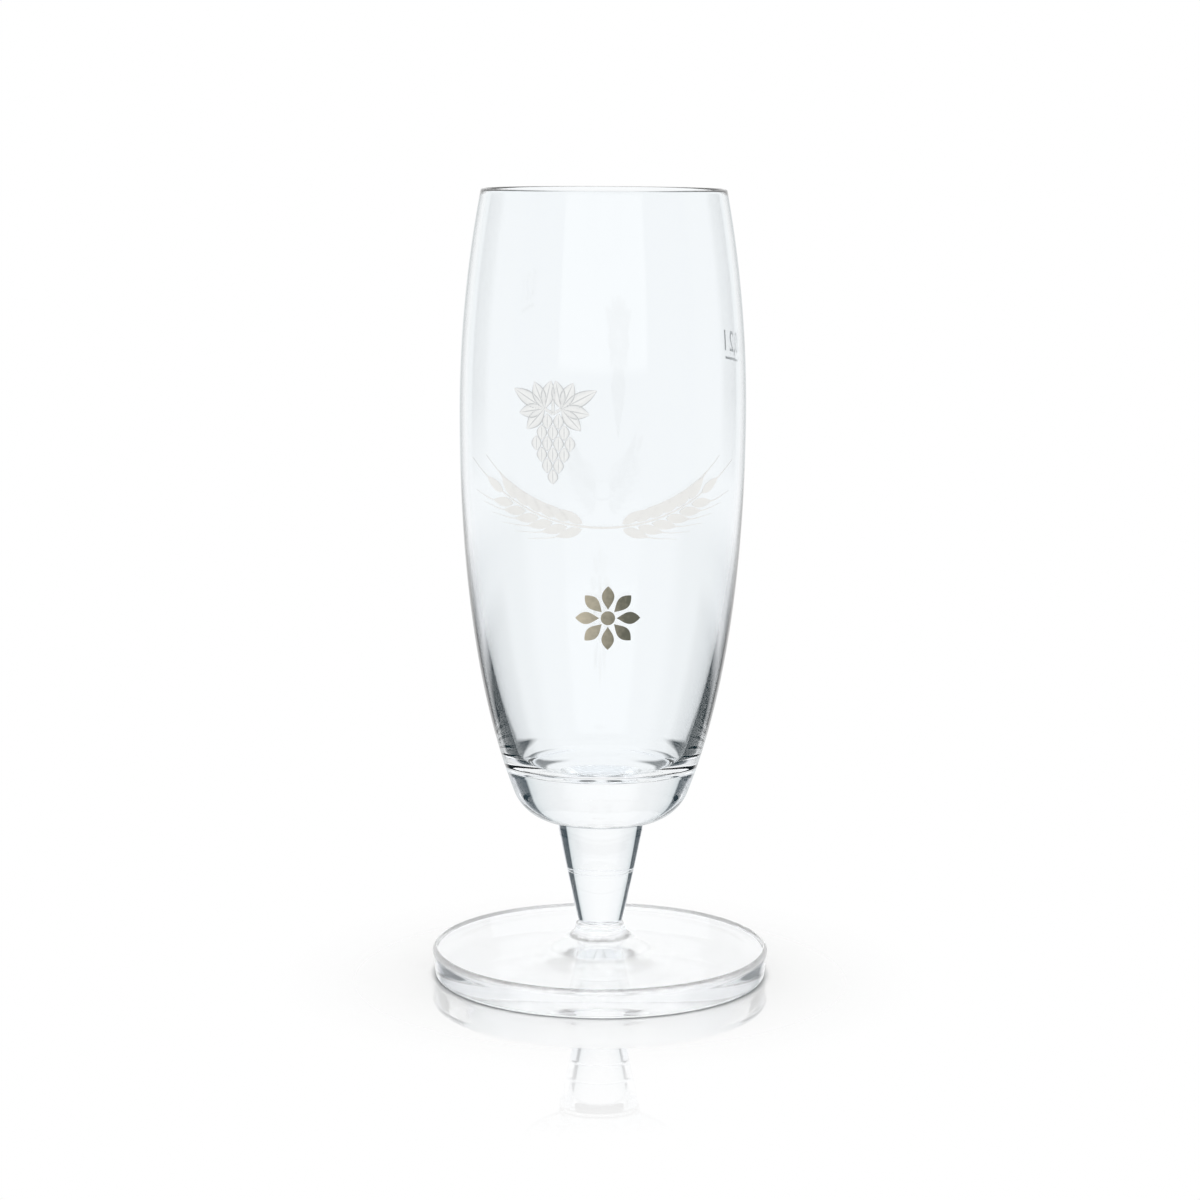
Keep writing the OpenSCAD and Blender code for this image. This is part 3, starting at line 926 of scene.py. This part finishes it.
        # The right gap reaches a little further behind the glass than the left one
        skewed = add_node(tree, "ShaderNodeMath", {0: turn, 1: GAP_SKEW}, operation="ADD")
        around, gap_around = self.to_half_turns(tree, turn), self.to_half_turns(tree, skewed)
        # Solid glass lets light in and out once, the bowl's two walls do so twice
        solid = add_node(
            tree, "ShaderNodeMath", {0: path["Transmission Depth"], 1: SOLID_CROSSINGS},
            operation="LESS_THAN")
        tent = self.hang_walls(tree, axes, around, gap_around, solid)
        strips = self.hang_strips(tree, path, fall, around, solid)
        bent = add_node(
            tree, "ShaderNodeMix", {"Factor": strips, "A": tent, "B": colours().strip},
            data_type="RGBA")
        # Light that the base turned back many times comes from all sides, so it is white
        many_turns = add_node(
            tree, "ShaderNodeMath", {0: path["Glossy Depth"], 1: FEW_TURNS},
            operation="GREATER_THAN")
        box = self.hang_soft_box(tree, path, axes, around)
        lit = self.hang_skirt(tree, axes, fall, around)
        for share, tone in (
                (path["Is Transmission Ray"], bent), (many_turns, WHITE), (box, BOX_LIGHT)):
            lit = add_node(
                tree, "ShaderNodeMix", {"Factor": share, "A": lit, "B": tone}, data_type="RGBA")
        by_glass = add_node(
            tree, "ShaderNodeMath", {0: path["Is Glossy Ray"], 1: path["Is Transmission Ray"]},
            operation="MAXIMUM")
        not_matt = add_node(
            tree, "ShaderNodeMath", {0: path["Diffuse Depth"], 1: 0.5}, operation="LESS_THAN")
        tent_seen = add_node(
            tree, "ShaderNodeMath", {0: by_glass, 1: not_matt}, operation="MULTIPLY")
        seen = add_node(
            tree, "ShaderNodeMix", {"Factor": tent_seen, "A": WHITE, "B": lit}, data_type="RGBA")
        light = add_node(tree, "ShaderNodeBackground", {"Color": seen, "Strength": 1.0})
        add_node(tree, "ShaderNodeOutputWorld", {"Surface": light})
        scene.world = world

    def to_half_turns(self, tree, turn):
        """The place around the tent of a turn to either side, in half turns from behind"""
        either_side = add_node(tree, "ShaderNodeMath", {0: turn}, operation="ABSOLUTE")
        return add_node(tree, "ShaderNodeMath", {0: either_side, 1: math.pi}, operation="DIVIDE")

    def hang_walls(self, tree, axes, around, gap_around, solid):
        """The walls with their gaps, which draw the edges of the solid glass, over the ground,
        which is all that the bowl's thin walls show"""
        gap = colours().gap
        walls = add_node(
            tree, "ShaderNodeValToRGB", {"Fac": gap_around}, stops=tent_stops(
                (8, WHITE), (25, linear("#F9FAFB")), (36, linear("#F0F3F4")),
                (43, linear("#DDE3E5")), (45.5, gap), (64, gap), (72, colours().tent)))
        over_walls = add_node(
            tree, "ShaderNodeMapRange",
            {"Value": axes["Z"], "From Min": WALLS_END[0], "From Max": WALLS_END[1]})
        roofed = add_node(
            tree, "ShaderNodeMix", {"Factor": over_walls, "A": walls, "B": WHITE},
            data_type="RGBA")
        ground = add_node(
            tree, "ShaderNodeValToRGB", {"Fac": around}, stops=tent_stops(
                (8, WHITE), (30, linear("#F8F9FB")), (90, linear("#F3F5F8"))))
        over_ground = add_node(
            tree, "ShaderNodeMapRange",
            {"Value": axes["Z"], "From Min": GROUND_ENDS[0], "From Max": GROUND_ENDS[1]})
        walls_seen = add_node(
            tree, "ShaderNodeMath", {0: over_ground, 1: solid}, operation="MULTIPLY")
        return add_node(
            tree, "ShaderNodeMix", {"Factor": walls_seen, "A": ground, "B": roofed},
            data_type="RGBA")

    def hang_strips(self, tree, path, fall, around, solid):
        """How far a dark strip is seen: low beside the tent through solid glass that turned the
        light back once, and low behind it through the bowl's floor and both of its walls"""
        strips = []
        for places, falls in ((STRIPS_BEHIND, BEHIND_FALLS), (STRIPS_BESIDE, BESIDE_FALLS)):
            across = add_node(
                tree, "ShaderNodeValToRGB", {"Fac": around}, stops=band(places, HALF_TURN))
            down = add_node(tree, "ShaderNodeValToRGB", {"Fac": fall}, stops=band(falls))
            strips.append(add_node(
                tree, "ShaderNodeMath", {0: across, 1: down}, operation="MULTIPLY"))
        behind, beside = strips
        one_turn = add_node(
            tree, "ShaderNodeMath", {0: path["Glossy Depth"], 1: 1.0, 2: 0.5},
            operation="COMPARE")
        beside_seen = add_node(
            tree, "ShaderNodeMath", {0: beside, 1: one_turn}, operation="MULTIPLY")
        return add_node(
            tree, "ShaderNodeMix", {"Factor": solid, "A": behind, "B": beside_seen},
            data_type="FLOAT")

    def hang_skirt(self, tree, axes, fall, around):
        """What the glass mirrors: white, or the tent's tone in front, and a dark skirt low down on
        both sides, but not in front"""
        above = add_node(
            tree, "ShaderNodeValToRGB", {"Fac": around},
            stops=tent_stops((98, WHITE), (104, colours().tent)))
        aside = add_node(tree, "ShaderNodeMath", {0: axes["X"]}, operation="ABSOLUTE")
        skirt = 1.0
        for value, (start, full) in (
                (fall, SKIRT_FALL), (aside, SKIRT_ASIDE), (axes["Y"], SKIRT_FAR)):
            reached = add_node(
                tree, "ShaderNodeMapRange", {"Value": value, "From Min": start, "From Max": full})
            skirt = add_node(
                tree, "ShaderNodeMath", {0: skirt, 1: reached}, operation="MULTIPLY")
        return add_node(
            tree, "ShaderNodeMix", {"Factor": skirt, "A": above, "B": colours().skirt},
            data_type="RGBA")

    def hang_soft_box(self, tree, path, axes, around):
        """How far the soft box in front is seen, by light that the glass turned back. It draws an
        upright strip on the bowl"""
        across = add_node(
            tree, "ShaderNodeValToRGB", {"Fac": around}, stops=band(BOX_PLACES, HALF_TURN))
        upright = add_node(
            tree, "ShaderNodeValToRGB", {"Fac": axes["Z"]}, stops=band(BOX_HEIGHTS))
        box = add_node(tree, "ShaderNodeMath", {0: across, 1: upright}, operation="MULTIPLY")
        turned_back = add_node(
            tree, "ShaderNodeMath", {0: path["Glossy Depth"], 1: 0.5}, operation="GREATER_THAN")
        return add_node(tree, "ShaderNodeMath", {0: box, 1: turned_back}, operation="MULTIPLY")

    def set_camera(self, scene):
        """The photograph's view: from the front, slightly from above, through a long lens"""
        data = bpy.data.cameras.new("camera")
        data.lens = LENS_MM
        camera = bpy.data.objects.new("camera", data)
        camera.matrix_world = (
            Matrix.Translation(CAMERA_PLACE) @ Matrix.Rotation(CAMERA_TILT, 4, "X")
            @ Matrix.Rotation(CAMERA_ROLL, 4, "Z"))
        scene.collection.objects.link(camera)
        scene.camera = camera


class GLASS_PT_panel(bpy.types.Panel):
    """Lists the steps that build the glass"""
    bl_idname = "GLASS_PT_panel"
    bl_label = "Pilsner Glass"
    bl_space_type = "VIEW_3D"
    bl_region_type = "UI"
    bl_category = "Glass"

    def draw(self, context):
        for operator in OPERATORS:
            self.layout.operator(operator.bl_idname)
        for group in (sizes(), prints(), colours()):
            box = self.layout.box()
            for name in group.bl_rna.properties.keys():
                if name not in ("rna_type", "name"):
                    box.prop(group, name)


OPERATORS = (
    GLASS_OT_stage, GLASS_OT_bowl, GLASS_OT_stem, GLASS_OT_foot, GLASS_OT_hop_sprig,
    GLASS_OT_barley_garland, GLASS_OT_rosette, GLASS_OT_fill_mark)
CLASSES = (GlassSizes, PrintSizes, GlassColours) + OPERATORS + (GLASS_PT_panel,)


def register():
    for cls in CLASSES:
        bpy.utils.register_class(cls)
    bpy.types.Scene.glass_sizes = bpy.props.PointerProperty(type=GlassSizes)
    bpy.types.Scene.glass_prints = bpy.props.PointerProperty(type=PrintSizes)
    bpy.types.Scene.glass_colours = bpy.props.PointerProperty(type=GlassColours)


def unregister():
    del bpy.types.Scene.glass_colours
    del bpy.types.Scene.glass_prints
    del bpy.types.Scene.glass_sizes
    for cls in reversed(CLASSES):
        bpy.utils.unregister_class(cls)


def main():
    register()
    bpy.ops.glass.stage()
    bpy.ops.glass.bowl()
    bpy.ops.glass.stem()
    bpy.ops.glass.foot()
    bpy.ops.glass.hop_sprig()
    bpy.ops.glass.barley_garland()
    bpy.ops.glass.rosette()
    bpy.ops.glass.fill_mark()


if __name__ == "__main__":
    main()
